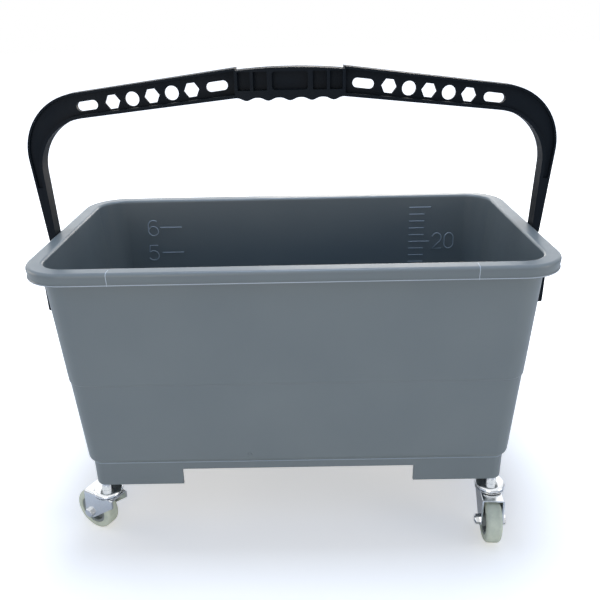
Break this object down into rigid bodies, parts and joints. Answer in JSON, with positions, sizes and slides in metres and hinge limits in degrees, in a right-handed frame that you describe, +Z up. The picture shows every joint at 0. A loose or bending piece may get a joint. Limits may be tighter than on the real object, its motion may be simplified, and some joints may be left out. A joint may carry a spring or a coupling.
{
  "type": "window washing trolley",
  "caption": "Rectangular plastic window-cleaning bucket with a rolled rim, a swinging pierced bail handle and a skirted foot on trailing swivel casters.",
  "frame": {"origin": "centre of the bounding box, on the floor the wheels stand on", "axes": "+X along the tub to the right as seen from the front, +Y to the back wall that carries the scales, +Z up"},
  "size_m": [0.5516, 0.2916, 0.5022],
  "materials": {
    "tub_plastic": "moulded polypropylene, satin",
    "bail_plastic": "moulded, fine grain",
    "zinc_plate": "bright zinc plate",
    "core_plastic": "moulded",
    "tyre_rubber": "grey thermoplastic rubber, smooth"
  },
  "bodies": {
    "tub_body": {"tub": "tub_plastic", "pivot_pin_left": "bail_plastic", "pivot_pin_right": "bail_plastic", "stem_grip_rings": "zinc_plate", "race_balls": "zinc_plate", "stem_front_left": "zinc_plate", "stem_front_right": "zinc_plate", "stem_rear_left": "zinc_plate", "stem_rear_right": "zinc_plate", "swivel_cap_front_left": "zinc_plate", "swivel_cap_front_right": "zinc_plate", "swivel_cap_rear_left": "zinc_plate", "swivel_cap_rear_right": "zinc_plate"},
    "handle_body": {"handle": "bail_plastic"},
    "swivel_front_left": {"fork_front_left": "zinc_plate", "axle_bolt_front_left": "zinc_plate", "axle_nut_front_left": "zinc_plate", "axle_sleeve_front_left": "zinc_plate"},
    "wheel_front_left": {"wheel_core_front_left": "core_plastic", "tyre_front_left": "tyre_rubber"},
    "swivel_front_right": {"fork_front_right": "zinc_plate", "axle_bolt_front_right": "zinc_plate", "axle_nut_front_right": "zinc_plate", "axle_sleeve_front_right": "zinc_plate"},
    "wheel_front_right": {"wheel_core_front_right": "core_plastic", "tyre_front_right": "tyre_rubber"},
    "swivel_rear_left": {"fork_rear_left": "zinc_plate", "axle_bolt_rear_left": "zinc_plate", "axle_nut_rear_left": "zinc_plate", "axle_sleeve_rear_left": "zinc_plate"},
    "wheel_rear_left": {"wheel_core_rear_left": "core_plastic", "tyre_rear_left": "tyre_rubber"},
    "swivel_rear_right": {"fork_rear_right": "zinc_plate", "axle_bolt_rear_right": "zinc_plate", "axle_nut_rear_right": "zinc_plate", "axle_sleeve_rear_right": "zinc_plate"},
    "wheel_rear_right": {"wheel_core_rear_right": "core_plastic", "tyre_rear_right": "tyre_rubber"}
  },
  "joints": [
    {"name": "handle_swing", "type": "hinge", "parent": "tub_body", "child": "handle_body", "pos_m": [0, 0, 0.297], "axis": [1, 0, 0], "range_deg": [-128, 128]},
    {"name": "swivel_turn_front_left", "type": "hinge", "parent": "tub_body", "child": "swivel_front_left", "pos_m": [-0.21698, -0.09857, 0.055], "axis": [0, 0, 1], "continuous": true},
    {"name": "wheel_spin_front_left", "type": "hinge", "parent": "swivel_front_left", "child": "wheel_front_left", "pos_m": [-0.23604, -0.08757, 0.025], "axis": [-0.5, -0.866, 0], "continuous": true},
    {"name": "swivel_turn_front_right", "type": "hinge", "parent": "tub_body", "child": "swivel_front_right", "pos_m": [0.21698, -0.09857, 0.055], "axis": [0, 0, 1], "continuous": true},
    {"name": "wheel_spin_front_right", "type": "hinge", "parent": "swivel_front_right", "child": "wheel_front_right", "pos_m": [0.21545, -0.12052, 0.025], "axis": [0.9976, -0.0698, 0], "continuous": true},
    {"name": "swivel_turn_rear_left", "type": "hinge", "parent": "tub_body", "child": "swivel_rear_left", "pos_m": [-0.21698, 0.09857, 0.055], "axis": [0, 0, 1], "continuous": true},
    {"name": "wheel_spin_rear_left", "type": "hinge", "parent": "swivel_rear_left", "child": "wheel_rear_left", "pos_m": [-0.21545, 0.12052, 0.025], "axis": [-0.9976, 0.0698, 0], "continuous": true},
    {"name": "swivel_turn_rear_right", "type": "hinge", "parent": "tub_body", "child": "swivel_rear_right", "pos_m": [0.21698, 0.09857, 0.055], "axis": [0, 0, 1], "continuous": true},
    {"name": "wheel_spin_rear_right", "type": "hinge", "parent": "swivel_rear_right", "child": "wheel_rear_right", "pos_m": [0.23604, 0.08757, 0.025], "axis": [0.5, 0.866, 0], "continuous": true}
  ]
}
